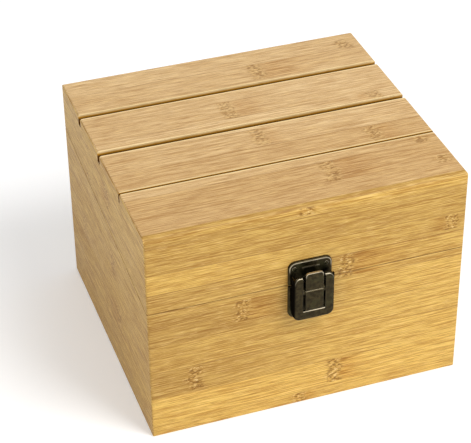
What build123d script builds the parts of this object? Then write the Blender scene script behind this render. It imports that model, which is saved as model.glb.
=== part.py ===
from build123d import *
import os

# A bamboo box for recipe cards. Walls and top board are mitred together into one box, which is sawn
# apart along a seam that climbs towards the back. Three grooves across the top stand a card upright.
# Two surface hinges join lid and body behind, and a draw latch closes them in front.
# Millimetres. +X is to the right, +Y to the back and +Z up. The origin is the middle of the underside.

# ---- Driving dimensions: the wooden box ----
box_width = 180.0            # left to right
box_depth = 165.0            # front to back, without the metalwork
box_height = 132.0
wall_thickness = 8.0
base_board_thickness = 5.0
base_rebate = 4.0            # how far the base board is let into each wall
base_clearance = 0.1         # glue line round the base board
lid_front_height = 48.0      # from the seam to the top, at the front face
lid_back_height = 29.0       # and at the back face
seam_gap = 0.3
seam_ease = 0.3              # bevel on the outer edges of the seam

# ---- Driving dimensions: eased edges of the wood ----
corner_radius = 1.2          # upright corners
front_nose_radius = 4.0      # top edge at the front
rear_nose_radius = 1.5       # top edge at the back
side_ease = 0.8              # top edges at the sides
foot_ease = 0.6              # edges round the underside
same_place = 0.01            # edges nearer to a place than this lie on it

# ---- Driving dimensions: grooves across the top, from the back to the front ----
rear_strip = 39.3            # back face to the middle of the first groove
groove_pitch = 40.4
card_groove_width = 4.2
trim_groove_width = 1.6
groove_depth = 5.5
groove_widths = [card_groove_width, card_groove_width, trim_groove_width]

# ---- Driving dimensions: hinges on the back ----
hinge_inset = 38.0           # side of the box to the middle of a hinge
leaf_width = 26.0
leaf_height = 15.0           # from the pin's axis to the leaf's far edge
leaf_thickness = 0.9
leaf_corner_radius = 2.0
barrel_radius = 2.1
barrel_stand_off = 0.3       # between the barrel and the wood
hinge_pin_radius = 1.05
pin_clearance = 0.05         # radial, for every pin that turns
knuckle_count = 5
knuckle_gap = 0.2
hinge_pin_head_radius = 1.6
hinge_pin_head_height = 0.6
screw_spacing = 16.0         # between the two screws of a leaf
screw_offset = 9.5           # pin axis to the screws
screw_head_radius = 1.9
screw_shank_radius = 0.9
seat_clearance = 0.04        # radial, round every fastener that is driven in
wood_behind_fastener = 2.0   # what is left of the wall past a fastener's tip

# ---- Driving dimensions: latch plates. Heights are measured from the seam at the front ----
latch_width = 24.6
plate_thickness = 1.6
plate_corner_radius = 4.0
strike_top = 14.9
strike_bottom = 0.6
base_plate_top = -0.5
base_plate_bottom = -21.5
nail_spread = 18.2           # between the two nails of a plate
strike_nail_height = 10.8
base_nail_height = -17.4
base_nail_spread = 16.6
nail_head_radius = 1.3
nail_head_height = 0.55
nail_shank_radius = 0.6
rib_length = 10.0
rib_height = 10.7
rib_size = 0.8
rib_end_radius = 0.35
rib_relief = 0.35            # how far the pressed rib stands off the strike plate

# ---- Driving dimensions: the catch on the strike plate ----
catch_width = 9.6
catch_bottom = 2.6
catch_top = 6.4
catch_reach = 3.9            # from the wood to the catch's outer face
catch_thickness = 1.0
catch_bend_radius = 0.8      # outside of the bend between the catch's foot and its lip
catch_clearance = 0.8        # between catch and hook, so that lid and latch each move alone

# ---- Driving dimensions: the lever, a bent-up sheet that turns on two rivets ----
lever_width = 23.0
lever_bottom = -19.6
lever_face = 7.8             # from the wood to the lever's outer face
lever_sheet = 0.9
lever_nose_radius = 2.65     # rolled top end, round the rivets
lever_pivot_height = 5.65
lever_corner_radius = 3.8
lever_shoulder_radius = 3.4
lever_inner_shoulder = 1.6   # the same bend inside the sheet
lever_bend_radius = 1.2      # between the face and the side walls
lever_lip_depth = 3.0        # bottom wall that a fingernail lifts
window_width = 12.9
window_bottom = -13.7
window_lip_depth = 1.5
rivet_radius = 0.8
rivet_head_radius = 1.2
rivet_head_height = 0.6
rivet_end_play = 0.1         # between a rivet's head and the lever's side wall
ear_thickness = 1.0
ear_side_gap = 0.9           # between an ear and the lever's side wall
ear_lift = 1.0               # between an ear and the strike plate that passes under it
ear_boss_gap = 0.45          # between an ear's end and the inside of the lever's nose
ear_root_height = 12.5       # of an ear's foot, down from the top of the base plate
ear_full_depth = 3.5         # from the top of the base plate to where an ear is full depth
ear_toe = 0.5                # how far the lower end of an ear stands off the plate

# ---- Driving dimensions: the link, the tab in the lever's window ----
link_width = 10.0
link_face = 8.2              # from the wood to the link's outer face
link_sheet = 1.1
link_top = 11.0
link_corner_radius = 1.8
link_end_gap = 0.8           # between the link's foot and the window's bottom
link_pivot_height = -1.4
link_pivot_reach = 5.6       # from the wood to the link pin's axis
link_pin_radius = 0.9
cheek_thickness = 0.9
cheek_radius = 1.8
link_knuckle_gap = 0.25      # between the link's knuckle and the cheeks
crease_height = -0.4
crease_width = 0.9
crease_depth = 0.45
hook_height = 7.1            # underside of the hook's arm
hook_thickness = 1.1
hook_drop = 1.4              # how far the hook's tip hangs below its arm
hook_width = 9.2

# ---- Worked-out places ----
front_face = -box_depth / 2
back_face = box_depth / 2
seam_front_height = box_height - lid_front_height
seam_back_height = box_height - lid_back_height
fastener_depth = wall_thickness - wood_behind_fastener
hinge_axis_out = barrel_radius + barrel_stand_off
hinge_pin_bore = hinge_pin_radius + pin_clearance
hinge_places = [-(box_width / 2 - hinge_inset), box_width / 2 - hinge_inset]
lever_pivot_reach = lever_face - lever_nose_radius
lever_foot = seam_front_height + lever_bottom
rivet_height = seam_front_height + lever_pivot_height
lever_crown = rivet_height + lever_nose_radius
rivet_place = Pos(lever_pivot_reach, rivet_height)
ear_outside = lever_width / 2 - lever_sheet - ear_side_gap
window_foot = seam_front_height + window_bottom
link_pin_height = seam_front_height + link_pivot_height
link_pin_place = Pos(link_pivot_reach, link_pin_height)


# ---- Drawing planes and small helpers ----
def side_plane(face, outward):
    """Side view of a face of the box: first coordinate out of the wood, second one up."""
    return Plane(origin=(0, face, 0), x_dir=(0, outward, 0), z_dir=(outward, 0, 0))


def face_plane(face, outward, x=0.0, z=0.0):
    """Plane that lies on the front or back face at (x, z), with its normal out of the wood."""
    return Plane(origin=(x, face, z), x_dir=(-outward, 0, 0), z_dir=(0, outward, 0))


def carried(profile, x_from, x_to):
    """Solid made by carrying a side-view profile of the front face from x_from to x_to."""
    return Pos(x_from, 0, 0) * extrude(side_plane(front_face, -1) * profile, x_to - x_from, dir=(1, 0, 0))


def patch(out_from, out_to, low, high):
    """Rectangle between two distances from the wood and two heights."""
    return Pos((out_from + out_to) / 2, (low + high) / 2) * Rectangle(out_to - out_from, high - low)


def both_sides(solid):
    """A piece and its mirror image across the middle of the box."""
    return solid + mirror(solid, Plane.YZ)


def dome(radius, height):
    """Rounded head that stands on the plane z = 0."""
    ball_radius = (radius ** 2 + height ** 2) / (2 * height)
    ball = Pos(0, 0, height - ball_radius) * Sphere(ball_radius)
    return ball & Pos(0, 0, height / 2) * Cylinder(2 * radius, height)


def seam_height(y):
    """Height of the middle of the saw cut at a distance y from the middle of the box."""
    climb = (seam_back_height - seam_front_height) / box_depth
    return seam_front_height + climb * (y - front_face)


# ---- Fasteners, drawn pointing out of the wood from the plane z = 0 of its face ----
def nail(extra=0.0):
    """Round-headed nail through a latch plate; extra widens it into the hole it is driven into."""
    length = fastener_depth + plate_thickness + extra
    shank = Pos(0, 0, plate_thickness - length / 2) * Cylinder(nail_shank_radius + extra, length)
    if extra:
        return shank
    return shank + Pos(0, 0, plate_thickness) * dome(nail_head_radius, nail_head_height)


def screw(extra=0.0):
    """Countersunk screw whose head is flush with a hinge leaf; extra widens it into its hole."""
    head = Cone(screw_shank_radius + extra, screw_head_radius + extra, leaf_thickness)
    shank_length = fastener_depth + extra
    shank = Pos(0, 0, -shank_length / 2) * Cylinder(screw_shank_radius + extra, shank_length)
    return Pos(0, 0, leaf_thickness / 2) * head + shank


def latch_nails(height, spread, extra=0.0):
    """The two nails of a latch plate, on the front face."""
    z = seam_front_height + height
    return Part() + [face_plane(front_face, -1, side * spread / 2, z) * nail(extra) for side in (-1, 1)]


def hinge_screws(up, extra=0.0):
    """The screws of both hinges' leaves on one side of the seam; up is 1 on the lid and -1 below it."""
    height = seam_back_height + up * screw_offset
    offsets = [hinge + side * screw_spacing / 2 for hinge in hinge_places for side in (-1, 1)]
    return Part() + [face_plane(back_face, 1, x, height) * screw(extra) for x in offsets]


# ---- The wooden box ----
def box_envelope():
    """Outer form of the closed box with its eased edges, as the common space of three views."""
    plan = extrude(RectangleRounded(box_width, box_depth, corner_radius), box_height)
    side = Pos(0, box_height / 2) * Rectangle(box_depth, box_height)
    side = chamfer(side.vertices().group_by(Axis.Y)[0], foot_ease)
    side = fillet(side.vertices().group_by(Axis.Y)[-1].sort_by(Axis.X)[0], front_nose_radius)
    side = fillet(side.vertices().group_by(Axis.Y)[-1].sort_by(Axis.X)[-1], rear_nose_radius)
    front = Pos(0, box_height / 2) * Rectangle(box_width, box_height)
    front = chamfer(front.vertices().group_by(Axis.Y)[0], foot_ease)
    front = chamfer(front.vertices().group_by(Axis.Y)[-1], side_ease)
    side_body = extrude(Plane.YZ * side, box_width, both=True)
    front_body = extrude(Plane.XZ * front, box_depth, both=True)
    return plan & side_body & front_body


def block_in_side_view(*corners):
    """Block that is wider than the box, from the corners of its side view."""
    return extrude(Plane.YZ * Polygon(*corners, align=None), box_width, both=True)


def below_seam():
    """Everything under the saw cut."""
    near, far = -box_depth, box_depth
    near_top, far_top = seam_height(near) - seam_gap / 2, seam_height(far) - seam_gap / 2
    return block_in_side_view((near, 0), (far, 0), (far, far_top), (near, near_top))


def above_seam():
    """Everything between the saw cut and the top."""
    near, far = -box_depth, box_depth
    near_foot, far_foot = seam_height(near) + seam_gap / 2, seam_height(far) + seam_gap / 2
    return block_in_side_view((near, near_foot), (far, far_foot), (far, box_height), (near, box_height))


def wall_plan(index):
    """Plan of one mitred wall, counted from the front one round to the left one."""
    half_width, half_depth = box_width / 2, box_depth / 2
    signs = [(-1, -1), (1, -1), (1, 1), (-1, 1)]
    outer = [(sx * half_width, sy * half_depth) for sx, sy in signs]
    inner = [(sx * (half_width - wall_thickness), sy * (half_depth - wall_thickness)) for sx, sy in signs]
    following = (index + 1) % 4
    return Polygon(outer[index], outer[following], inner[following], inner[index], align=None)


def eased_at_seam(wall):
    """The wall with a fine bevel along the outer edge of its sawn face."""
    def outside_and_sawn(edge):
        middle = edge.center()
        depth_in_wood = min(box_width / 2 - abs(middle.X), box_depth / 2 - abs(middle.Y))
        from_seam = abs(middle.Z - seam_height(middle.Y))
        return depth_in_wood < corner_radius and from_seam < seam_gap
    return chamfer(wall.edges().filter_by(outside_and_sawn), seam_ease)


def base_pocket(clearance=0.0):
    """Space of the base board, let into the foot of all four walls."""
    width = box_width - 2 * (wall_thickness - base_rebate) - 2 * clearance
    depth = box_depth - 2 * (wall_thickness - base_rebate) - 2 * clearance
    return Pos(0, 0, base_board_thickness / 2) * Box(width, depth, base_board_thickness)


def top_board_space():
    """Space of the top board, whose four edges are mitred to the walls: wide above and narrow below."""
    underside = Rectangle(box_width - 2 * wall_thickness, box_depth - 2 * wall_thickness)
    upper_side = Rectangle(box_width, box_depth)
    return loft([Pos(0, 0, box_height - wall_thickness) * underside, Pos(0, 0, box_height) * upper_side])


def card_grooves():
    """The grooves, which run from side to side through the top board and the walls' upper edges."""
    grooves = Part()
    for number, width in enumerate(groove_widths):
        middle = back_face - rear_strip - number * groove_pitch
        grooves += Pos(0, middle, box_height) * Box(box_width, width, 2 * groove_depth)
    return grooves


# ---- Hinges on the back ----
def hinge_leaf(centre, up):
    """One leaf with its rolled knuckles; up is 1 for the lid's leaf and -1 for the body's."""
    axis_height = seam_back_height
    notch = barrel_radius + knuckle_gap
    middle = axis_height + up * (notch + leaf_height) / 2
    outline = Rectangle(leaf_width, leaf_height - notch)
    far_corners = outline.vertices().group_by(Axis.Y)[-1 if up > 0 else 0]
    outline = fillet(far_corners, leaf_corner_radius)
    leaf = extrude(face_plane(back_face, 1, centre, middle) * outline, leaf_thickness)
    roll = Pos(hinge_axis_out, axis_height) * Circle(barrel_radius)
    reach = sorted([axis_height, axis_height + up * (notch + leaf_thickness)])
    roll += patch(0, leaf_thickness, *reach)
    roll -= Pos(hinge_axis_out, axis_height) * Circle(hinge_pin_bore)
    pitch = leaf_width / knuckle_count
    for number in range(0 if up < 0 else 1, knuckle_count, 2):
        start = centre - leaf_width / 2 + number * pitch
        profile = side_plane(back_face, 1) * roll
        length = pitch - knuckle_gap
        leaf += Pos(start + knuckle_gap / 2, 0, 0) * extrude(profile, length, dir=(1, 0, 0))
    return leaf - hinge_screws(up, seat_clearance)


def hinge_pin(centre):
    """Pin through all the knuckles, with a low round head at both ends."""
    place = Pos(centre, back_face + hinge_axis_out, seam_back_height)
    pin = Rotation(0, 90, 0) * Cylinder(hinge_pin_radius, leaf_width)
    head = dome(hinge_pin_head_radius, hinge_pin_head_height)
    return place * (pin + both_sides(Rotation(0, 90, 0) * Pos(0, 0, leaf_width / 2) * head))


# ---- Latch plates on the front ----
def latch_plate(low, high, rounded_end):
    """Pressed plate with two round corners and a soft rim; rounded_end is -1 at its top, 0 below."""
    outline = Rectangle(latch_width, high - low)
    outline = fillet(outline.vertices().group_by(Axis.Y)[rounded_end], plate_corner_radius)
    middle = seam_front_height + (low + high) / 2
    plate = extrude(face_plane(front_face, -1, 0, middle) * outline, plate_thickness)
    return fillet(plate.faces().sort_by(Axis.Y)[0].edges(), plate_thickness / 2)


def strike_plate():
    """Upper plate on the lid, with a pressed rib and the catch that the link's hook pulls on."""
    plate = latch_plate(strike_bottom, strike_top, -1)
    rib_middle = seam_front_height + rib_height
    rib = Pos(0, rib_middle) * RectangleRounded(rib_length, rib_size, rib_end_radius)
    plate += extrude(face_plane(front_face, -1) * rib, plate_thickness + rib_relief)
    low, high = seam_front_height + catch_bottom, seam_front_height + catch_top
    foot = patch(plate_thickness / 2, catch_reach, low, low + catch_thickness)
    lip = patch(catch_reach - catch_thickness, catch_reach, low, high)
    outline = foot + lip
    outer_bend = outline.vertices().group_by(Axis.Y)[0].sort_by(Axis.X)[-1]
    outline = fillet(outer_bend, catch_bend_radius)
    plate += carried(outline, -catch_width / 2, catch_width / 2)
    return plate - latch_nails(strike_nail_height, nail_spread, seat_clearance)


def ear_outline():
    """Side view of an ear: out of the base plate, over the seam and round the lever's rivet."""
    boss_radius = lever_nose_radius - lever_sheet - ear_boss_gap
    foot = seam_front_height + base_plate_top
    root = plate_thickness / 2
    over_lid = plate_thickness + ear_lift
    deepest = lever_pivot_reach + boss_radius
    outline = Polygon(
        (root, foot - ear_root_height),
        (plate_thickness + ear_toe, foot - ear_root_height),
        (deepest, foot - ear_full_depth),
        (deepest, rivet_height),
        (lever_pivot_reach, rivet_height),
        (over_lid, foot),
        (root, foot),
        align=None)
    outline += rivet_place * Circle(boss_radius)
    return outline - rivet_place * Circle(rivet_radius + seat_clearance)


def latch_base_plate():
    """Lower plate on the body, with the two ears that carry the lever."""
    plate = latch_plate(base_plate_bottom, base_plate_top, 0)
    ear = carried(ear_outline(), ear_outside - ear_thickness, ear_outside)
    return plate + both_sides(ear) - latch_nails(base_nail_height, base_nail_spread, seat_clearance)


# ---- The moving latch ----
def lever_profile(inset=0.0):
    """Side view of the lever, drawn inside its outer face by an inset: a strip with a round top."""
    radius = lever_nose_radius - inset
    strip = patch(lever_pivot_reach - radius, lever_face - inset, lever_foot + inset, rivet_height)
    return strip + rivet_place * Circle(radius)


def lever_outline(inset, shoulder_radius):
    """Front view of the lever, drawn inside its outer edge by an inset and carried through it."""
    outline = Pos(0, (lever_foot + lever_crown) / 2) * Rectangle(
        lever_width - 2 * inset, lever_crown - lever_foot - 2 * inset)
    outline = fillet(outline.vertices().group_by(Axis.Y)[0], lever_corner_radius - inset)
    if shoulder_radius:
        outline = fillet(outline.vertices().group_by(Axis.Y)[-1], shoulder_radius)
    return extrude(face_plane(front_face, -1) * outline, box_depth)


def link_cheeks():
    """The two ears behind the lever's face, beside its window, that hold the link pin."""
    cheek = link_pin_place * Circle(cheek_radius)
    cheek += patch(link_pivot_reach, lever_face - lever_sheet / 2,
                   link_pin_height - cheek_radius, link_pin_height + cheek_radius)
    cheek -= link_pin_place * Circle(link_pin_radius + seat_clearance)
    return both_sides(carried(cheek, window_width / 2, window_width / 2 + cheek_thickness))


def latch_lever():
    """Bent-up lever: face, rolled top, side walls, finger lip and the cheeks for the link pin."""
    half_width = lever_width / 2
    inner_half_width = half_width - lever_sheet
    half_window = window_width / 2
    block = carried(lever_profile(), -half_width, half_width) & lever_outline(0, 0)
    face_y = front_face - lever_face
    face_edges = block.edges().filter_by(lambda edge: abs(edge.bounding_box().max.Y - face_y) < same_place)
    face_edges = face_edges.filter_by(lambda edge: edge.center().Z < rivet_height - same_place)
    block = fillet(face_edges, lever_bend_radius) & lever_outline(0, lever_shoulder_radius)
    room = carried(lever_profile(lever_sheet), -inner_half_width, inner_half_width)
    room &= lever_outline(lever_sheet, lever_inner_shoulder)
    above, below = lever_crown + lever_sheet, lever_foot - lever_sheet
    open_back = patch(0, lever_face - lever_lip_depth, below, rivet_height)
    open_back += patch(0, lever_pivot_reach, rivet_height - lever_nose_radius, above)
    room += carried(open_back, -inner_half_width, inner_half_width)
    window = carried(patch(0, link_face, window_foot, above), -half_window, half_window)
    window_lip = carried(patch(lever_face - window_lip_depth, lever_face - lever_sheet / 2,
                               window_foot - lever_sheet, window_foot), -half_window, half_window)
    lever = block - room - window + window_lip + link_cheeks()
    rivet_hole = carried(rivet_place * Circle(rivet_radius + pin_clearance), -half_width, half_width)
    return lever - rivet_hole


def lever_rivets():
    """Short rivets that hold the lever's side walls to the ears, with a head at both ends."""
    inner = ear_outside - ear_thickness
    outer = lever_width / 2 + rivet_end_play
    place = Pos(0, front_face - lever_pivot_reach, rivet_height)
    shank = Pos((inner + outer) / 2, 0, 0) * Rotation(0, 90, 0) * Cylinder(rivet_radius, outer - inner)
    outer_head = Pos(outer, 0, 0) * Rotation(0, 90, 0) * dome(rivet_head_radius, rivet_head_height)
    inner_head = Pos(inner, 0, 0) * Rotation(0, -90, 0) * dome(rivet_head_radius, rivet_head_height)
    return both_sides(place * (shank + outer_head + inner_head))


def link_pin():
    """Pin that carries the link between the lever's cheeks."""
    length = window_width + 2 * cheek_thickness
    place = Pos(0, front_face - link_pivot_reach, link_pin_height)
    return place * Rotation(0, 90, 0) * Cylinder(link_pin_radius, length)


def latch_link():
    """Tab in the lever's window: a creased strip with a knuckle behind it and a hook at its top."""
    low = window_foot + link_end_gap
    high = seam_front_height + link_top
    outline = Pos(0, (low + high) / 2) * Rectangle(link_width, high - low)
    outline = fillet(outline.vertices().group_by(Axis.Y)[-1], link_corner_radius)
    inside = link_face - link_sheet
    link = extrude(face_plane(front_face - inside, -1) * outline, link_sheet)
    crease_middle = seam_front_height + crease_height
    crease = Polygon(
        (link_face - crease_depth, crease_middle),
        (link_face, crease_middle - crease_width / 2),
        (link_face, crease_middle + crease_width / 2),
        align=None)
    link -= carried(crease, -link_width, link_width)
    knuckle = link_pin_place * Circle(cheek_radius)
    knuckle += patch(link_pivot_reach, inside + link_sheet / 2,
                     link_pin_height - cheek_radius / 2, link_pin_height + cheek_radius / 2)
    knuckle -= link_pin_place * Circle(link_pin_radius + pin_clearance)
    half_knuckle = window_width / 2 - link_knuckle_gap
    link += carried(knuckle, -half_knuckle, half_knuckle)
    tip = catch_reach + catch_clearance
    arm_low = seam_front_height + hook_height
    arm_high = arm_low + hook_thickness
    hook = patch(tip, inside + link_sheet / 2, arm_low, arm_high)
    hook += patch(tip, tip + hook_thickness, arm_low - hook_drop, arm_high)
    return link + carried(hook, -hook_width / 2, hook_width / 2)


# ---- Assembly of the wooden pieces ----
envelope = box_envelope()
body_space = below_seam()
lid_space = above_seam()
strike_nail_holes = latch_nails(strike_nail_height, nail_spread, seat_clearance)
base_nail_holes = latch_nails(base_nail_height, base_nail_spread, seat_clearance)
body_holes = {"front": base_nail_holes, "back": hinge_screws(-1, seat_clearance)}
lid_holes = {"front": strike_nail_holes, "back": hinge_screws(1, seat_clearance)}

board_space = top_board_space()
grooves = card_grooves()

parts = {}
for index, side in enumerate(["front", "right", "back", "left"]):
    wall = extrude(wall_plan(index), box_height) & envelope
    body_wall = eased_at_seam(wall & body_space) - base_pocket()
    lid_wall = eased_at_seam(wall & lid_space) - board_space - grooves
    parts[f"body_{side}_wall"] = body_wall - body_holes[side] if side in body_holes else body_wall
    parts[f"lid_{side}_wall"] = lid_wall - lid_holes[side] if side in lid_holes else lid_wall
parts["base_board"] = base_pocket(base_clearance)
parts["lid_top_board"] = (board_space & envelope) - grooves

# ---- Assembly of the metalwork ----
for side, centre in zip(["left", "right"], hinge_places):
    parts[f"{side}_hinge_body_leaf"] = hinge_leaf(centre, -1)
    parts[f"{side}_hinge_lid_leaf"] = hinge_leaf(centre, 1)
    parts[f"{side}_hinge_pin"] = hinge_pin(centre)
parts["hinge_body_screws"] = hinge_screws(-1)
parts["hinge_lid_screws"] = hinge_screws(1)
parts["strike_plate"] = strike_plate()
parts["strike_nails"] = latch_nails(strike_nail_height, nail_spread)
parts["latch_base_plate"] = latch_base_plate()
parts["latch_base_nails"] = latch_nails(base_nail_height, base_nail_spread)
parts["latch_lever"] = latch_lever()
parts["lever_rivets"] = lever_rivets()
parts["latch_link"] = latch_link()
parts["link_pin"] = link_pin()

os.makedirs("parts", exist_ok=True)
for name, solid in parts.items():
    export_step(solid, f"parts/{name}.step")
print(len(parts), "pieces written")
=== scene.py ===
# %% [markdown]
# # Recipe card box: looks
#
# The real object is a small bamboo box: a body, a lid on two hinges, three grooves across the lid's board and a
# draw latch in front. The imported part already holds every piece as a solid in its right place, hinge knuckles
# and screws among them, so no shape is modelled again here. This notebook gives each piece its material, sets the
# box on a pale floor in soft light and places the camera where the photograph was taken.
#
# Lengths are in metres and the frame is the part's own: +X to the right, +Y to the back, +Z up, with the origin
# in the middle of the underside.

from types import SimpleNamespace

import bpy
from mathutils import Matrix, Vector


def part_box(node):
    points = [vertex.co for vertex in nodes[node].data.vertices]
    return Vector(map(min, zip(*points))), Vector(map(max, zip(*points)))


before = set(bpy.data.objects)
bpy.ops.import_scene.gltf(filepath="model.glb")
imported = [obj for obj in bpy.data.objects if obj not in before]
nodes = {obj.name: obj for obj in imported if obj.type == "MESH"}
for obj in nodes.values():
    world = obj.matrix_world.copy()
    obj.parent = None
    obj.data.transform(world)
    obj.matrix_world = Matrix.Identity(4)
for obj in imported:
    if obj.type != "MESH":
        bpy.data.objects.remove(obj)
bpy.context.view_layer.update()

# %% [markdown]
# ## Millimetres and colours
#
# A maker measures in millimetres and names a colour as a screen shows it. Blender wants metres, and it wants a
# colour as an amount of light, which falls off much faster towards black than the eye's idea of it does. Every
# number could be changed over by hand, but two small helpers keep the numbers below in the maker's own units.

# %% Millimetres and colours
def mm(*lengths):
    """Millimetres to metres: each length over 1000. One length gives a number, several give a list."""
    metres = [length / 1000 for length in lengths]
    return metres if len(metres) > 1 else metres[0]


def shade(red, green, blue):
    """Colour as a screen shows it, 0 to 255, as the linear colour that a material wants.

    A share s of 255 becomes ((s + 0.055) / 1.055) to the power 2.4. Up to 10 of 255 the curve is a straight line
    of slope 1 in 12.92, which is the value over 3294.
    """
    linear = [((c / 255 + 0.055) / 1.055) ** 2.4 if c > 10 else c / 3294 for c in (red, green, blue)]
    return (*linear, 1.0)


print("180 mm is", mm(180), "m; a grey of 128 sends back", round(shade(128, 128, 128)[0], 3), "of the light")

# %% [markdown]
# ## Recipes for node materials
#
# Bamboo and worn bronze change from point to point, and one flat colour on them would look like plastic. Pictures
# could be laid over the boards, but a pattern that is worked out from the place of each point in space stays
# sharp at any distance and runs on round a corner as real wood does. In Blender such a pattern is a chain of
# nodes. The helpers below wrap a material's node tree so that the chain reads as arithmetic: each step adds a node
# and returns its output socket, which the next step can take in. They come in three layers, each a class that
# builds on the one before: sums, patterns made of sums, and the finished recipe with its colours and relief.

# %% A material's node tree, written as arithmetic
def steps_of(kind):
    """Names of the steps that a class brings with it."""
    return ", ".join(name for name in vars(kind) if not name.startswith("_"))


class Sums:
    """One material. Sockets and plain numbers can both be given wherever a value is wanted."""

    def __init__(self, name):
        """Start from Blender's own shader. x, y and z are the point's place in the part's frame, in metres."""
        self.material = bpy.data.materials.new(name)
        self.material.use_nodes = True
        self.tree = self.material.node_tree
        self.shader = self.tree.nodes["Principled BSDF"]
        place = self.tree.nodes.new("ShaderNodeTexCoord").outputs["Object"]
        split = self.tree.nodes.new("ShaderNodeSeparateXYZ")
        self.tree.links.new(place, split.inputs[0])
        self.x, self.y, self.z = split.outputs

    def feed(self, socket, value):
        """Link a socket, or set it where the value is a number or a colour."""
        if isinstance(value, bpy.types.NodeSocket):
            self.tree.links.new(value, socket)
        else:
            socket.default_value = value

    def sum(self, operation, *values):
        """One step of arithmetic, named as Blender's Math node names it."""
        node = self.tree.nodes.new("ShaderNodeMath")
        node.operation = operation
        for socket, value in zip(node.inputs, values):
            self.feed(socket, value)
        return node.outputs[0]

    def add(self, a, b):
        return self.sum("ADD", a, b)

    def subtract(self, a, b):
        return self.sum("SUBTRACT", a, b)

    def times(self, a, b):
        return self.sum("MULTIPLY", a, b)

    def size_of(self, value):
        """The value without its sign."""
        return self.sum("ABSOLUTE", value)

    def greatest(self, first, *others):
        for other in others:
            first = self.sum("MAXIMUM", first, other)
        return first


print("sums:", steps_of(Sums))

# %% Ramps, bands and random fields
class Patterns(Sums):
    """Patterns made of sums: how strongly something shows at each point."""

    def ramp(self, value, low, high, to_low=0.0, to_high=1.0):
        """From to_low at low to to_high at high, level outside them.

        Between them it follows 3 t^2 - 2 t^3, where t is the share of the way, so that it starts and ends softly.
        """
        node = self.tree.nodes.new("ShaderNodeMapRange")
        node.interpolation_type = "SMOOTHSTEP"
        for socket, given in zip(node.inputs, (value, low, high, to_low, to_high)):
            self.feed(socket, given)
        return node.outputs[0]

    def fade(self, value, full, gone, amount=1.0):
        """The amount while the value is within `full` mm of 0 on either side, and 0 from `gone` mm on."""
        return self.ramp(self.size_of(value), mm(full), mm(gone), amount, 0.0)

    def steps(self, value, low, high, bands):
        """Colour of the band in which a value between low and high falls. bands are (start, colour)."""
        node = self.tree.nodes.new("ShaderNodeValToRGB")
        node.color_ramp.interpolation = "CONSTANT"
        elements = node.color_ramp.elements
        while len(elements) < len(bands):
            elements.new(0.5)
        for element, (start, colour) in zip(elements, bands):
            element.position = (start - low) / (high - low)
            element.color = colour
        self.feed(node.inputs[0], self.times(self.subtract(value, low), 1 / (high - low)))
        return node.outputs[0]

    def noise(self, x, y, z, scale=1.0, detail=2.0, roughness=0.5):
        """Soft random field between 0 and 1, about 0.5 on average, read at the point (x, y, z) times the scale."""
        point = self.tree.nodes.new("ShaderNodeCombineXYZ")
        for socket, value in zip(point.inputs, (x, y, z)):
            self.feed(socket, value)
        node = self.tree.nodes.new("ShaderNodeTexNoise")
        for name, value in (("Vector", point.outputs[0]), ("Scale", scale), ("Detail", detail),
                            ("Roughness", roughness)):
            self.feed(node.inputs[name], value)
        return node.outputs[0]


print("patterns:", steps_of(Patterns))

# %% Colours, relief and the finished material
class Recipe(Patterns):
    """A whole recipe, from the place of a point to Blender's shader."""

    def mix(self, amount, a, b, blend="MIX"):
        """Colour a, with the amount of b laid over it, or multiplied into it."""
        node = self.tree.nodes.new("ShaderNodeMix")
        node.data_type = "RGBA"
        node.blend_type = blend
        self.feed(node.inputs["Factor"], amount)
        colour_a, colour_b = [socket for socket in node.inputs if socket.type == "RGBA"]
        self.feed(colour_a, a)
        self.feed(colour_b, b)
        return next(socket for socket in node.outputs if socket.type == "RGBA")

    def bump(self, height, depth, strength=1.0):
        """Tilt of the surface where the height changes. The depth is what a height of 1 stands for, in metres."""
        node = self.tree.nodes.new("ShaderNodeBump")
        self.feed(node.inputs["Height"], height)
        node.inputs["Distance"].default_value = depth
        node.inputs["Strength"].default_value = strength
        return node.outputs[0]

    def finish(self, colour, roughness, normal=None):
        """Plug the results into the shader."""
        self.feed(self.shader.inputs["Base Color"], colour)
        self.feed(self.shader.inputs["Roughness"], roughness)
        if normal is not None:
            self.feed(self.shader.inputs["Normal"], normal)
        return self.material


print("recipe:", steps_of(Recipe))

# %% [markdown]
# ## Dressing a piece
#
# On the real box all pieces of a kind share one finish. In Blender a finish sits in a mesh's material slot. A
# piece could be copied and dressed as a new one, but filling its slot is enough and leaves its shape alone, so
# one material can serve many pieces.

# %% Dressing a piece
def dress(material, *names):
    """Give whole nodes one material."""
    for name in names:
        slots = nodes[name].data.materials
        slots.clear()
        slots.append(material)
    print(material.name, "on", ", ".join(names))


print("pieces to dress:", ", ".join(sorted(nodes)))

# %% [markdown]
# ## Bamboo
#
# Every real board is glued up from strips of split cane, 10 to 20 mm wide, that run along it. Four things make it
# look like bamboo and not like wood:
#
# * each strip has its own tone, and its fibres are long fine streaks that never cross a glue line;
# * the fibres are dotted with short brown dashes;
# * where the cane had a joint, the strip has a knuckle: a wavy band of pale and brown specks across it, with a
#   bundle of darker fibres running out of it on one side;
# * the seam and the grooves carry painted light and shade: a dark line of painted shade in the gap where the lid
#   was sawn off, and painted highlights on the grooves' edges and painted shade on their walls.
#
# Ready-made wood has none of this. So the looks are built up in the order of the making: strips, fibres,
# knuckles, glue, the painted shade of the seam, the grooves' painted light and shade. First come the sizes that
# these follow.

# %% Sizes that the bamboo follows
wood_half = {"x": 90.0, "y": 82.5}                        # half the box's width and depth, mm
wood_top = 132.0                                          # height of the lid's board, mm
cut_middle, cut_slope = 93.5, 19 / 165                    # saw cut: height at the middle, mm, and rise per mm back
card_grooves = [(43.2, 4.2), (2.8, 4.2), (-37.6, 1.6)]    # middle and width of each groove, mm
groove_floor = 126.5                                      # height of the grooves' floor, mm

top_in_frame = [round(1000 * value, 1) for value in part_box("lid_top_board")[1]]
print("saw cut", cut_middle - cut_slope * wood_half["y"], "mm up at the front and",
      cut_middle + cut_slope * wood_half["y"], "at the back; the lid's board ends at", top_in_frame, "mm")

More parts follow.
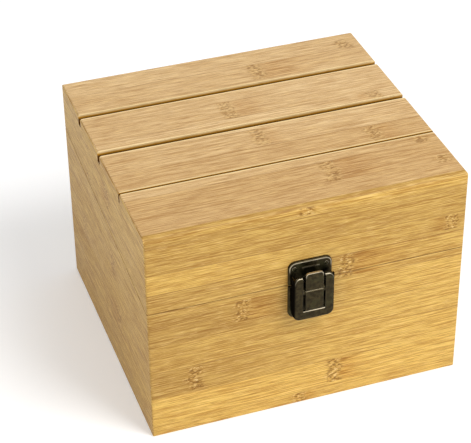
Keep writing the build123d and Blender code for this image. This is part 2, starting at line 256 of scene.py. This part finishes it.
# %% [markdown]
# ## Strips
#
# On the real board the strips differ in tone, some grow lighter or darker along their length, and the grain
# starts afresh at every glue line. One material per strip could do that, but a board is a single solid. A colour
# ramp with hard steps, read across the board, does it in one node: its red, green and blue carry three numbers
# for each strip in place of a colour.

# %% Strips
strip_span = {"z": (-2, 134), "y": (-84, 84)}    # where the strips begin and end, upright and level boards, mm
rise_reach = 90                                  # a strip's rise is reached this far from the middle, mm
strip_spread = 9.0                               # how far apart the strips' random fields are taken


def lay_strips(r, u, v, strips, span):
    """Tone of the strip at each point, and its shift: a number of its own that sets its fields apart.

    Red holds the tone. Green holds the strip's number times 0.618 without the whole turns, which keeps neighbours
    far apart, fitted into 0.13 to 0.74. Blue holds 0.5 plus the rise, and the tone grows by the rise times the
    place along over 90 mm.
    """
    bands = []
    for number, (start, tone, *rise) in enumerate(strips):
        own_number = 0.13 + 0.61 * (number * 0.618 % 1)
        bands.append((mm(start), (tone, own_number, 0.5 + (rise[0] if rise else 0.0), 1)))
    strip = r.tree.nodes.new("ShaderNodeSeparateColor")
    r.feed(strip.inputs[0], r.steps(v, *mm(*span), bands))
    rise = r.times(r.times(r.subtract(strip.outputs["Blue"], 0.5), u), 1 / mm(rise_reach))
    return r.add(strip.outputs["Red"], rise), r.times(strip.outputs["Green"], strip_spread)


print("strips are laid over", strip_span, "mm")

# %% [markdown]
# ## Fibres
#
# Bamboo's fibres are straight dark hairs in paler pith, some as thin as 0.3 mm and some in bundles, with short
# brown dashes between them. Waves would be too even. A random field that is read with few steps along the board
# and very many across it draws out into just such hairs, and three of them, from fine to coarse, lie over each
# other.

# %% Fields of fibres
hair_kinds = {      # steps per metre along, across and into the board, layers of detail and their strength
    "fine": (45, 3000, 900, 1, 0.6),
    "middle": (14, 1400, 500, 3, 0.7),
    "coarse": (8, 300, 200, 2, 0.5),
}


def fibre_fields(r, u, v, w, shift, seed):
    """Random fields of one board: fine, middle and coarse hairs, a slow cloud, brown dashes and pale gleams.

    Each is read where a coordinate is a length times its steps per metre. `bent` is the place across plus a slow
    wobble of up to half a millimetre either way, so that no fibre is dead straight.
    """
    wobble = r.noise(r.times(u, 9), r.times(v, 40), shift)
    bent = r.add(v, r.times(r.subtract(wobble, 0.5), mm(1.0)))
    fields = SimpleNamespace(bent=bent)
    for kind, (along, across, into, detail, roughness) in hair_kinds.items():
        hairs = r.noise(r.times(u, along), r.times(bent, across), r.add(r.times(w, into), shift),
                        detail=detail, roughness=roughness)
        setattr(fields, kind, hairs)
    fields.cloud = r.noise(r.times(u, 14), r.times(v, 50), r.add(shift, seed), detail=1)
    short = r.noise(r.times(u, 130), r.times(bent, 2600), r.add(shift, 8.0), detail=1)
    fields.dashes = r.ramp(short, 0.57, 0.66)
    fields.gleams = r.ramp(short, 0.42, 0.34)
    return fields


for kind, (_, across, *_) in hair_kinds.items():
    print(kind, "hairs are", round(1000 / across, 1), "mm wide")

# %% Colours of fibres
def fibre_colour(r, tone, fields, tones, grain, nose):
    """Colour of the strips with their fibres.

    The level between a board's two tones is a ramp of 0.72 of the strip's tone, 0.06 of the coarse hairs and 0.15
    of the cloud. The dark between the hairs multiplies it, and dashes and gleams lie over it, all by the grain.
    """
    level = r.add(r.times(tone, 0.72), r.add(r.times(fields.coarse, 0.06), r.times(fields.cloud, 0.15)))
    level = r.ramp(level, 0.12, 0.76)
    colour = r.mix(level, *tones)
    if nose:
        limit, nose_tones = nose
        before = r.ramp(r.y, mm(limit - 0.4), mm(limit + 0.4), 1.0, 0.0)
        colour = r.mix(before, colour, r.mix(level, *nose_tones))
    fine, middle = r.ramp(fields.fine, 0.43, 0.57), r.ramp(fields.middle, 0.36, 0.64)
    dark = r.subtract(1.0, r.add(r.times(fine, 0.88), r.times(middle, 0.12)))
    colour = r.mix(r.times(dark, grain), colour, shade(176, 138, 62), "MULTIPLY")
    colour = r.mix(r.times(fields.dashes, 0.60 * grain), colour, shade(142, 100, 42))
    return r.mix(r.times(fields.gleams, 0.44 * grain), colour, shade(250, 214, 142))


golden = shade(186, 148, 77), shade(230, 191, 101)    # front, back and base
cream = shade(206, 168, 112), shade(228, 196, 146)    # top
tan = shade(190, 152, 78), shade(212, 176, 99)        # sides
print("darkest tones:", [[round(value, 2) for value in tones[0][:3]] for tones in (golden, cream, tan)])

# %% [markdown]
# ## Knuckles
#
# A cane is closed at each joint by a wall of tangled fibres. Split and planed, this shows as a band of specks
# across one strip, and the fibres that leave it on one side stay darker for a few centimetres. The knuckles are
# what the eye finds first, so those of the front, top and left side sit where the photograph has them. Each
# is a soft window on its own strip, through which one field of specks and one of streaks show.

# %% Windows for the knuckles
def within(r, value, low, high, soft):
    """1 between two lengths in mm and 0 outside them: a soft rise at one times a soft fall at the other."""
    rise = r.ramp(value, mm(low - soft), mm(low + soft))
    fall = r.ramp(value, mm(high - soft), mm(high + soft), 1.0, 0.0)
    return r.times(rise, fall)


def knuckle_windows(r, u, v, shift, knuckles):
    """How much a knuckle, and how much the streak beside it, shows at each point.

    A knuckle is full within 2.2 mm of its line and gone at 6.2 mm, and its line waves up to 5.5 mm either way. Its
    streak comes in from 2 to 7 mm off the line and fades out over the last three quarters of its run.
    """
    knuckle, streak = 0.0, 0.0
    for place, start, end, run in knuckles:
        wave = r.noise(place, r.times(v, 230), shift)
        off = r.subtract(r.subtract(u, mm(place)), r.times(r.subtract(wave, 0.5), mm(11)))
        inside = within(r, v, start, end, 0.2)
        knuckle = r.greatest(knuckle, r.times(r.fade(off, 2.2, 6.2), inside))
        if run:
            side = r.times(off, 1.0 if run > 0 else -1.0)
            fall = r.ramp(side, mm(abs(run) * 0.25), mm(abs(run)), 1.0, 0.0)
            tail = r.times(r.ramp(side, mm(2), mm(7)), fall)
            streak = r.greatest(streak, r.times(tail, inside))
    return knuckle, streak


print("a knuckle is up to 12.4 mm wide")

# %% Specks and streaks
def draw_knuckles(r, colour, u, v, shift, bent, knuckles, marks):
    """Colour with the knuckles laid over it, and the field of their dark specks.

    Specks are the high parts of a fine field within the knuckle, pale spots its low parts. The field is read up
    to 4.5 mm beside each point, by a slower field, so that the specks line up along curls. Streaks are the high
    parts of a long field.
    """
    knuckle, streak = knuckle_windows(r, u, v, shift, knuckles)
    sway = r.times(r.subtract(r.noise(r.times(u, 60), r.times(v, 260), shift), 0.5), mm(9))
    speck_field = r.noise(r.times(r.add(u, sway), 480), r.times(v, 900), shift, roughness=0.6)
    specks = r.times(knuckle, r.ramp(speck_field, 0.50, 0.60))
    pale = r.times(knuckle, r.ramp(speck_field, 0.36, 0.44, 1.0, 0.0))
    streak_field = r.noise(r.times(u, 50), r.times(bent, 1300), shift, roughness=0.6)
    streaks = r.times(streak, r.ramp(streak_field, 0.50, 0.60))
    layers = [(knuckle, 0.36, shade(178, 130, 56), "MIX"), (specks, 0.8, shade(116, 76, 24), "MIX"),
              (pale, 0.50, shade(244, 216, 152), "MIX"), (streak, 0.5, shade(238, 220, 192), "MULTIPLY"),
              (streaks, 0.9, shade(204, 180, 134), "MULTIPLY")]
    for window, amount, tint, blend in layers:
        colour = r.mix(r.times(window, amount * marks), colour, tint, blend)
    return colour, specks


print("specks are about", round(1000 / 900, 1), "mm across and", round(1000 / 480, 1), "mm along the strip")

# %% [markdown]
# ## Glue lines, seam shade and groove shading
#
# Glue shows as a fine brown line between two strips, here and there more than elsewhere. The box was closed
# when the lid was sawn off, and the narrow gap between lid and body is drawn as painted shade, a dark line round
# the outside. The grooves' top edges carry a painted highlight, partly rubbed bare, and below them the walls are
# painted amber to dark brown as painted shade, the darker the deeper they lie. The slit and the grooves
# themselves are in the part. Only their colour is added here, by the distance of each point from the line, the
# plane or the groove's middle.

# %% Glue lines
def glue_lines(r, colour, u, v, strips, seed):
    """Each line is full within 0.1 mm of the joint and gone at 0.4 mm, and a slow field makes it come and go."""
    glue = 0.0
    for boundary, *_ in strips[1:]:
        glue = r.greatest(glue, r.fade(r.subtract(v, mm(boundary)), 0.10, 0.40))
    patchy = r.ramp(r.noise(r.times(u, 16), r.times(v, 90), seed, detail=1), 0.42, 0.60, 0.15, 0.62)
    return r.mix(r.times(glue, patchy), colour, shade(134, 92, 40))


print("a glue line is up to 0.8 mm wide")

# %% Seam shade
def seam_gap_shade(r, colour, outward, half):
    """Painted shade in the narrow gap of the seam, where the lid was sawn off. The cut's height is that at the
    middle plus the slope times the place front to back.

    The dark line is full within 0.3 mm of that plane and gone at 0.5 mm, and only the wall's outer skin is painted
    dark.
    """
    plane = r.add(r.times(r.y, cut_slope), mm(cut_middle))
    near = r.fade(r.subtract(r.z, plane), 0.3, 0.5)
    below_skin = r.subtract(r.size_of(outward), mm(half))
    skin = r.ramp(below_skin, mm(-0.5), mm(-0.3), 0.0, 0.42)
    # The dark line is painted shade for the narrow gap between lid and body.
    return r.mix(r.times(near, skin), colour, shade(104, 68, 22))


print("the saw cut climbs", round(cut_slope, 3), "mm per mm")

# %% Grooves
def groove_highlight_and_shade(r, colour):
    """Painted highlight on the top edges and painted shade on the walls of the card grooves.

    `lit` is how far down a groove's wall the lamp reaches: 0.45 of what its width has over 1.4 mm. The top edge
    has a painted highlight down to it, where it catches the light and is partly rubbed bare, and from there on the
    wall is painted shade, from amber to dark brown, down to the floor.
    """
    for centre, width in card_grooves:
        off = r.subtract(r.y, mm(centre))
        lit = 0.45 * (width - 1.4)
        wall = r.fade(off, width / 2 + 0.05, width / 2 + 0.25)
        beside = r.fade(off, width / 2 + 0.4, width / 2 + 1.3, amount=0.55)
        # painted highlight on the top edges, which catch the light and are partly rubbed bare
        painted_edge_highlight = r.times(beside, r.ramp(r.z, mm(wood_top - lit), mm(wood_top - lit * 0.35)))
        colour = r.mix(painted_edge_highlight, colour, shade(252, 226, 168))
        # painted shade on the wall: amber near the top, dark brown deeper down
        height = r.ramp(r.z, mm(wood_top - 0.66 * width), mm(wood_top - lit * 0.67))
        painted_wall_shade = r.mix(height, shade(86, 50, 0), shade(204, 146, 44))
        deep = r.ramp(r.z, mm(wood_top - lit * 1.33), mm(wood_top - lit * 0.33), 1.0, 0.0)
        above_floor = r.ramp(r.z, mm(groove_floor - 0.3), mm(groove_floor - 0.1))
        colour = r.mix(r.times(wall, r.times(deep, above_floor)), colour, painted_wall_shade)
    return colour


# grooves that get a painted highlight on their edges and painted shade on their walls
print("grooves to burn, middle and width in mm:", card_grooves)

# %% [markdown]
# ## A whole board
#
# The lacquer on the real boards is thin and satin. Under it the fibres stand a little proud and the dashes lie a
# little low, so that a reflection breaks up along the grain. A clear coat would lay one smooth gloss over all of
# it, so the gloss is the shader's own, kept low, with a shallow bump and a roughness that follows the hairs.

# %% A whole board
wood_gloss = 0.22


def bamboo(name, along, across, strips, knuckles, tones, grain=0.5, marks=1.0, seed=0.0, grooved=False,
           nose=None):
    """Bamboo whose fibres follow one axis.

    along, across: "x", "y" or "z". strips: where each starts across in mm, its tone from 0 to 1 and, if the tone
    drifts along it, its rise. knuckles: place along, from and to across, and run of the streak, in mm, where a
    run below 0 goes the other way. tones: colour at tone 0 and at tone 1. grain: contrast of the fibres. marks:
    strength of the knuckles. seed: sets the board's clouds and glue apart. grooved: the board has the card
    grooves. nose: (y in mm, tones) of a rounded front edge that shows the colour of the front.
    """
    r = Recipe(name)
    r.shader.inputs["Specular IOR Level"].default_value = wood_gloss
    places = {"x": r.x, "y": r.y, "z": r.z}
    u, v = places.pop(along), places.pop(across)
    (outward, w), = places.items()

    tone, shift = lay_strips(r, u, v, strips, strip_span[across])
    fields = fibre_fields(r, u, v, w, shift, seed)
    colour = fibre_colour(r, tone, fields, tones, grain, nose)
    colour, specks = draw_knuckles(r, colour, u, v, shift, fields.bent, knuckles, marks)
    colour = glue_lines(r, colour, u, v, strips, seed)
    if across == "z":
        colour = seam_gap_shade(r, colour, w, wood_half[outward])
    if grooved:
        colour = groove_highlight_and_shade(r, colour)

    proud = r.add(r.times(fields.fine, 0.35), r.times(fields.middle, 0.45))
    sunk = r.add(r.times(fields.dashes, 0.35), r.times(specks, 0.4))
    rough = r.ramp(r.add(fields.middle, r.times(fields.cloud, 0.5)), 0.4, 1.0, 0.56, 0.44)
    return r.finish(colour, rough, r.bump(r.subtract(proud, sunk), mm(0.12), 0.60))


print("gloss of the lacquer", wood_gloss, "where Blender starts from 0.5")

# %% [markdown]
# ## The box's six faces
#
# In the real box each face is one glued-up board, which was sawn into a body wall and a lid wall, so strips and
# knuckles run on across the cut. Both walls of a face therefore share one material. The glue lines, tones and
# knuckles of front, left side and top were read off the photograph after those faces had been flattened with the
# camera. The back, the right side and the base don't show in it: theirs are made up in the same manner.

# %% Front
front_strips = [(-2, 0.7, 0.05), (7.7, 0.9, 0.1), (25.7, 0.52, 0.3), (43.9, 0.5, 0.2), (61.7, 0.42, 0.3),
                (79.8, 0.4, 0.1), (96.1, 0.50, -0.15), (108.5, 0.36), (125.5, 0.42, 0.15)]
front_knuckles = [(-2.5, 127, 135, 0), (82, 98, 107.6, -14), (21, 81.4, 96.4, 44), (-37.5, 67, 80.7, 28),
                  (-65, 27, 43, 0), (16, 9.5, 26, 20), (-5, 1, 7, 14)]
front_bamboo = bamboo("front_bamboo", "x", "z", front_strips, front_knuckles, golden, grain=0.68, seed=1.0)
dress(front_bamboo, "body_front_wall", "lid_front_wall")

# %% Back
back_strips = [(-2, 0.7), (10.2, 0.5), (27.9, 0.8), (45.6, 0.4), (63.5, 0.6), (81.1, 0.3), (98.8, 0.7),
               (116.4, 0.5)]
back_knuckles = [(-44, 27.9, 45.6, 24), (37, 63.5, 81.1, -18), (71, 10.2, 27.9, 0), (-12, 98.8, 116.4, 20)]
back_bamboo = bamboo("back_bamboo", "x", "z", back_strips, back_knuckles, golden, grain=0.6, seed=2.0)
dress(back_bamboo, "body_back_wall", "lid_back_wall")

# %% Left side
left_strips = [(-2, 0.35), (12.5, 0.4), (30, 0.35), (47, 0.5), (62.2, 0.4), (78, 0.5), (96, 0.6), (105, 0.75),
               (119, 0.7)]
left_knuckles = [(-10, 105, 119, 20), (-15, 62, 78, 0), (-21, 30, 47, 18), (48, 47, 62, 0), (30, 96, 105, 14)]
left_bamboo = bamboo("left_bamboo", "y", "z", left_strips, left_knuckles, tan,
                     grain=0.72, marks=0.8, seed=3.0, grooved=True)
dress(left_bamboo, "body_left_wall", "lid_left_wall")

# %% Right side
right_strips = [(-2, 0.5), (9.0, 0.3), (26.8, 0.6), (44.4, 0.4), (62.0, 0.7), (79.9, 0.5), (97.4, 0.8),
                (114.0, 0.6)]
right_knuckles = [(52, 26.8, 44.4, -20), (-33, 62.0, 79.9, 18), (10, 97.4, 114.0, 0)]
right_bamboo = bamboo("right_bamboo", "y", "z", right_strips, right_knuckles, tan,
                      grain=0.72, marks=0.8, seed=4.0, grooved=True)
dress(right_bamboo, "body_right_wall", "lid_right_wall")

# %% Top
top_strips = [(-84, 0.24, 0.05), (-65, 0.2), (-46, 0.45, -0.15), (-36, 0.35), (-20, 0.55, 0.08), (-2, 0.8),
              (13, 0.62, 0.12), (31, 0.62, 0.1), (48, 0.56), (65.5, 0.75, -0.12)]
top_knuckles = [(80, 65, 75, 0), (20.6, 48, 65.5, 40), (-8.7, 13, 31, 26), (75, 5.5, 14, -14), (-2.5, -19, -2, 16),
                (59, -36, -21, 18), (22, -65, -46, 39), (81, -46, -39.5, 0), (84, -68, -61, 0)]
top_bamboo = bamboo("top_bamboo", "x", "y", top_strips, top_knuckles, cream,
                    grain=0.62, marks=0.72, seed=5.0, grooved=True, nose=(-78.3, golden))
dress(top_bamboo, "lid_top_board")

# %% Base
base_strips = [(-84, 0.5), (-61, 0.3), (-40, 0.7), (-19, 0.5), (2, 0.6), (23, 0.4), (44, 0.8), (65, 0.5)]
base_knuckles = [(-30, -40, -19, 20), (44, 2, 23, -22), (12, 44, 65, 0)]
base_bamboo = bamboo("base_bamboo", "x", "y", base_strips, base_knuckles, golden, seed=6.0)
dress(base_bamboo, "base_board")

# %% [markdown]
# ## Antique bronze
#
# The metalwork is stamped sheet, plated dark brown and then rubbed. Sharp edges are rubbed through to brass.
# Raised rims, the rib, the crease and the window's edge get painted highlights in the colour of old brass, flats
# stay nearly black-brown with a slight mottle, a painted shade runs along the lever's border, and the lever's
# sides and the base plate's parts away from the wood are painted dull and black as shade. Rubbed edges and
# highlights could be painted by hand, but two measures find them by themselves: how sharp the metal is at a point,
# and how far the point lies inside the outline of its plate.

# %% How far a point lies inside an outline
def depth_inside(r, half_width, low, high, radius):
    """Metres from a rounded outline, seen from the front, to a point inside it; below 0 outside it.

    The outline is a rectangle from low to high and half_width to each side, with round corners, in mm. The depth
    is the corner radius less the distance to the rectangle that is smaller by that radius on every side.
    """
    across = r.subtract(r.size_of(r.x), mm(half_width - radius))
    up = r.subtract(r.size_of(r.subtract(r.z, mm((low + high) / 2))), mm((high - low) / 2 - radius))
    across_square = r.sum("POWER", r.greatest(across, 0.0), 2.0)
    up_square = r.sum("POWER", r.greatest(up, 0.0), 2.0)
    corner = r.sum("SQRT", r.add(across_square, up_square))
    flat = r.sum("MINIMUM", r.greatest(across, up), 0.0)
    return r.subtract(mm(radius), r.add(corner, flat))


strike_low, strike_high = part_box("strike_plate")
print("strike plate in the frame:", round(1000 * (strike_high[0] - strike_low[0]), 1), "mm wide, up to",
      round(1000 * strike_high[2], 1), "mm high")

# %% Rubbed edges, and painted highlights on rims and lines
def sharp_edges(r):
    """1 on a sharp edge, 0 on a flat.

    The Bevel node gives the direction that the face would have if its edges were rounded by 0.3 mm. Where that
    and the face's own direction part, the cosine between them falls from 0.99 to 0.88.
    """
    bevel = r.tree.nodes.new("ShaderNodeBevel")
    bevel.samples = 6
    bevel.inputs["Radius"].default_value = mm(0.3)
    cosine = r.tree.nodes.new("ShaderNodeVectorMath")
    cosine.operation = "DOT_PRODUCT"
    r.feed(cosine.inputs[0], bevel.outputs[0])
    r.feed(cosine.inputs[1], r.tree.nodes.new("ShaderNodeNewGeometry").outputs["Normal"])
    return r.ramp(cosine.outputs["Value"], 0.99, 0.88, 0.0, 1.0)


def rim_highlight(r, half_width, low, high, radius, start, end, above, front, amount):
    """Painted highlight along the border of an outline, where it catches the light: between two depths inside it,
    above a height and in front of a y, all in mm.

    It is full over the middle two fifths of that band and gone at its sides.
    """
    off_middle = r.subtract(depth_inside(r, half_width, low, high, radius), mm((start + end) / 2))
    half = (end - start) / 2
    band = r.times(r.fade(off_middle, half * 0.4, half), r.ramp(r.z, mm(above - 2), mm(above + 2)))
    return r.times(band, r.ramp(r.y, mm(front - 0.2), mm(front + 0.2), amount, 0.0))


def line_highlight(r, half_length, height, half_thickness, amount):
    """Painted highlight along a level line about the middle, in mm: full over half its thickness, and gone at its
    ends and sides.
    """
    level = r.fade(r.subtract(r.z, mm(height)), half_thickness * 0.5, half_thickness)
    return r.times(r.times(level, r.fade(r.x, half_length - 0.4, half_length)), amount)


print("edges are rubbed over 0.3 mm")

# %% Crossed slots in the screw heads
def crossed_slots(r, hinge, off_x, pin, off_z):
    """1 in the crossed slots of four screws round each hinge's middle, alike on both sides of it, in mm.

    With the distances across and up from a screw's middle, the shorter is within the slot's half width of 0.26 mm
    and the longer within its half length of 1.3 mm.
    """
    beside = r.size_of(r.subtract(r.size_of(r.subtract(r.size_of(r.x), mm(hinge))), mm(off_x)))
    above = r.size_of(r.subtract(r.size_of(r.subtract(r.z, mm(pin))), mm(off_z)))
    short, long = r.sum("MINIMUM", beside, above), r.greatest(beside, above)
    return r.times(r.fade(short, 0.18, 0.26), r.fade(long, 1.15, 1.3))


print("screw slots 0.5 mm wide and 2.6 mm long")

# %% The plating
def bronze(name, rubbed, rims=(), lines=(), border_shade=None, dark=None, slots=None):
    """Dark plating with fine mottle, rubbed through to brass on sharp edges, with painted highlights and painted
    shade.

    rubbed: how much brass shows on sharp edges. rims, lines: what `rim_highlight` and `line_highlight` take,
    painted highlights in the colour of rubbed brass. border_shade: outline, reach inside it and amount of a border
    painted
    darker as shade. dark: (axis, distance) beyond which the metal is painted dull and black as shade, with its
    metallic reflection taken away. slots: what `crossed_slots` takes, painted near black as the shade in their
    hollows. All lengths in mm.
    """
    r = Recipe(name)
    r.shader.inputs["Metallic"].default_value = 1.0
    r.shader.inputs["Specular IOR Level"].default_value = 0.0
    mottle = r.noise(r.x, r.y, r.z, scale=420.0, detail=4, roughness=0.6)
    grime = r.noise(r.x, r.y, r.z, scale=150.0, detail=3)
    edge = r.times(sharp_edges(r), rubbed)
    # the rims and lines are painted highlights, laid over the rubbed edges
    edge = r.greatest(edge, *[rim_highlight(r, **rim) for rim in rims], *[line_highlight(r, **line) for line in lines])
    wear_and_highlight = r.times(edge, r.ramp(grime, 0.30, 0.58, 0.6, 1.0))
    colour = r.mix(r.ramp(mottle, 0.35, 0.70), shade(43, 37, 25), shade(64, 57, 38))
    colour = r.mix(r.times(r.ramp(grime, 0.50, 0.66), 0.40), colour, shade(66, 66, 42))
    # painted shade along a rounded border, where its edges turn away from the light
    if border_shade:
        outline, reach, amount = border_shade
        border = r.ramp(depth_inside(r, *outline), mm(reach * 0.3), mm(reach), amount, 0.0)
        colour = r.mix(border, colour, shade(20, 16, 10))
    # painted shade: beyond the distance the plating is painted dull black and loses its metallic reflection
    if dark:
        axis, distance = dark
        shaded_part = r.ramp(r.size_of({"x": r.x, "y": r.y}[axis]), mm(distance - 0.15), mm(distance + 0.15))
        colour = r.mix(shaded_part, colour, shade(14, 12, 9))
        r.feed(r.shader.inputs["Metallic"], r.subtract(1.0, shaded_part))
        wear_and_highlight = r.times(wear_and_highlight, r.ramp(shaded_part, 0.0, 1.0, 1.0, 0.25))
    colour = r.mix(wear_and_highlight, colour, shade(226, 213, 184))
    relief = mottle
    if slots:
        slot = crossed_slots(r, **slots)
        # the slots are painted near black: painted shade in their hollows
        colour = r.mix(slot, colour, shade(12, 10, 8))
        relief = r.subtract(mottle, r.times(slot, 8.0))
    rough = r.ramp(r.add(mottle, r.times(grime, 0.5)), 0.4, 1.0, 0.30, 0.46)
    return r.finish(colour, rough, r.bump(relief, mm(0.03), 0.25))


# %% [markdown]
# ## Latch
#
# The real latch is a strike plate on the lid with a stamped rim, a base plate on the body that the lever almost
# hides, the lever with a window in it, and the link in that window with a crease across it. Light catches the
# rims' upper halves, the rib, the crease and the window's lower edge, so these get painted highlights, each on its
# own piece. Only the upper end of an outline matters then, and the lower one is simply run on downwards.

# %% Strike plate and base plate
# painted highlights: the strike plate's upper rim and its embossed rib, where they catch the light
strike_rim_highlight = dict(half_width=12.3, low=60.0, high=98.9, radius=4.0, start=0.35, end=1.0, above=93.5,
                  front=0, amount=0.6)
strike_rib_highlight = dict(half_length=5.0, height=94.9, half_thickness=0.3, amount=0.3)
dress(bronze("strike_bronze", 0.25, rims=[strike_rim_highlight], lines=[strike_rib_highlight]), "strike_plate")

# the base plate more than 84.5 mm in front of the middle is painted dull black: painted shade under the lever
dress(bronze("base_bronze", 0.12, dark=("y", 84.5)), "latch_base_plate")

# %% Lever
# painted highlights on the lever's upper rim and on the window's lower edge
lever_rim_highlight = dict(half_width=11.5, low=40.0, high=92.3, radius=3.4, start=0.45, end=0.90, above=89.5,
                 front=-88.6, amount=0.26)
window_edge_highlight = dict(half_length=6.4, height=70.2, half_thickness=0.55, amount=0.9)
# painted shade along the lever's rounded border
lever_border_shade = (11.5, 64.4, 92.3, 3.8), 1.3, 0.7      # outline as in depth_inside, reach inside it, amount
# the lever's sides beyond 11 mm are painted dull black as shade
dress(bronze("lever_bronze", 0.1, rims=[lever_rim_highlight], lines=[window_edge_highlight], border_shade=lever_border_shade, dark=("x", 11.0)),
      "latch_lever", "lever_rivets")

# %% Link, and the latch's nails and pin
# painted highlights on the link's top edge and, faintly, on its crease
link_rim_highlight = dict(half_width=5.0, low=40.0, high=95.0, radius=1.8, start=-0.2, end=0.55, above=93.4,
                front=0, amount=0.7)
link_crease_highlight = dict(half_length=5.0, height=83.6, half_thickness=0.3, amount=0.12)
dress(bronze("link_bronze", 0.1, rims=[link_rim_highlight], lines=[link_crease_highlight]), "latch_link")

dress(bronze("nail_bronze", 0.25), "strike_nails", "latch_base_nails", "link_pin")

# %% [markdown]
# ## Hinges
#
# The hinges are of the same plating, rubbed brighter on the knuckles, which every opening wears. The screw heads
# are smooth cones in the part. Their crossed slots are half a millimetre wide, so a sunk pattern in the material,
# painted near black as the shade inside them, is enough to show them.

# %% Hinges
dress(bronze("hinge_bronze", 0.7), "left_hinge_body_leaf", "left_hinge_lid_leaf", "right_hinge_body_leaf",
      "right_hinge_lid_leaf")
dress(bronze("pin_bronze", 0.6), "left_hinge_pin", "right_hinge_pin")
screw_slots = dict(hinge=52, off_x=8, pin=103, off_z=9.5)
dress(bronze("screw_bronze", 0.6, slots=screw_slots), "hinge_body_screws", "hinge_lid_screws")

# %% [markdown]
# ## Floor and background
#
# In the photograph the box stands on white that has no horizon. A brighter lamp would whiten the floor, but the
# box with it. So the floor glows a little, and the air round it shows as pure white, only on the rays that reach
# the camera straight, in a reflection or through glass. The light on the box stays as it was, and the floor keeps
# the soft shadow.

# %% Rays that show a surface to the camera
def seen_rays(tree):
    """1 on rays that show the surface to the camera, else 0: the greatest of three of Light Path's outputs."""
    path = tree.nodes.new("ShaderNodeLightPath")
    seen = path.outputs["Is Camera Ray"]
    for also in ("Is Glossy Ray", "Is Transmission Ray"):
        either = tree.nodes.new("ShaderNodeMath")
        either.operation = "MAXIMUM"
        tree.links.new(seen, either.inputs[0])
        tree.links.new(path.outputs[also], either.inputs[1])
        seen = either.outputs[0]
    return seen


print("camera, glossy and transmission rays see the white")

# %% Floor
reach = 4                                            # from the middle to the floor's edge, m
floor_mesh = bpy.data.meshes.new("floor")
floor_mesh.from_pydata([(-reach, -reach, 0), (reach, -reach, 0), (reach, reach, 0), (-reach, reach, 0)], [],
                       [(0, 1, 2, 3)])
floor = bpy.data.objects.new("floor", floor_mesh)
bpy.context.scene.collection.objects.link(floor)

white = (1, 1, 1, 1)
r = Recipe("floor_white")
from_middle = r.sum("SQRT", r.add(r.times(r.x, r.x), r.times(r.y, r.y)))
glow = r.ramp(from_middle, 0.6, 1.6, 0.20, 0.52)     # stronger from 0.6 m to 1.6 m out
r.feed(r.shader.inputs["Emission Color"], white)
r.feed(r.shader.inputs["Emission Strength"], r.times(seen_rays(r.tree), glow))
floor_mesh.materials.append(r.finish((0.93, 0.93, 0.93, 1), 0.7))
print("floor", 2 * reach, "m square")

# %% Background
air_on_box, air_seen = 0.55, 1.0
world = bpy.data.worlds.new("studio")
bpy.context.scene.world = world
world.use_nodes = True
air = world.node_tree.nodes["Background"]
air.inputs["Color"].default_value = white
strength = world.node_tree.nodes.new("ShaderNodeMapRange")
strength.inputs["To Min"].default_value = air_on_box
strength.inputs["To Max"].default_value = air_seen
world.node_tree.links.new(seen_rays(world.node_tree), strength.inputs["Value"])
world.node_tree.links.new(strength.outputs[0], air.inputs["Strength"])
print("background", air_seen, "where it is seen, and", air_on_box, "on the box")

# %% [markdown]
# ## Lamps
#
# The photograph has one wide, soft light from above and in front on the right, and its shadow lies behind on the
# left. A sun lamp would give that shadow a hard edge. A square lamp 0.7 m wide and 1.5 m away gives a soft one,
# and a weaker lamp from the left keeps the left side from going grey.

# %% Lamps
def lamp(name, place, aim, width, power):
    """Square soft lamp of a given width that shines from one place at another, in metres and watts."""
    data = bpy.data.lights.new(name, "AREA")
    data.size = width
    data.energy = power
    light = bpy.data.objects.new(name, data)
    light.location = place
    light.rotation_euler = (Vector(aim) - Vector(place)).to_track_quat("-Z", "Y").to_euler()
    bpy.context.scene.collection.objects.link(light)
    print(name, "lamp,", power, "W,", round((Vector(aim) - Vector(place)).length, 2), "m away")


box_middle = (0, 0, 0.07)
lamp("key", (0.55, -0.75, 1.25), box_middle, 0.7, 16)
lamp("fill", (-1.1, -0.9, 0.7), box_middle, 0.9, 4)

# %% [markdown]
# ## Camera
#
# A camera set by eye never quite lines up. The box's size is known, so the place and turn of the camera could be
# worked out: they are those at which the six corners of the box's outline come nearest to the photograph's.
# Three unit vectors give its right, down and forward directions. Blender's camera looks along its own -Z, with
# its +Y up, so two of them are turned round.

# %% Camera
right = Vector((0.94499341, -0.32690381, -0.01101632))
down = Vector((-0.19655176, -0.54061441, -0.81798745))
forward = Vector((0.26144763, 0.77515802, -0.57513058))
camera_data = bpy.data.cameras.new("camera")
camera_data.sensor_width = 36.0
camera_data.lens = 130.19
camera_data.clip_start = 0.05
camera = bpy.data.objects.new("camera", camera_data)
turn = Matrix((right, -down, -forward)).transposed().to_4x4()
camera.matrix_world = Matrix.Translation(Vector(mm(-267.65, -754.71, 631.01))) @ turn
bpy.context.scene.collection.objects.link(camera)
bpy.context.scene.camera = camera
bpy.context.scene.view_settings.view_transform = "Standard"
print("camera", round(camera.location.length, 3), "m from the box's underside, lens", camera_data.lens, "mm")

# %% [markdown]
# ## The end
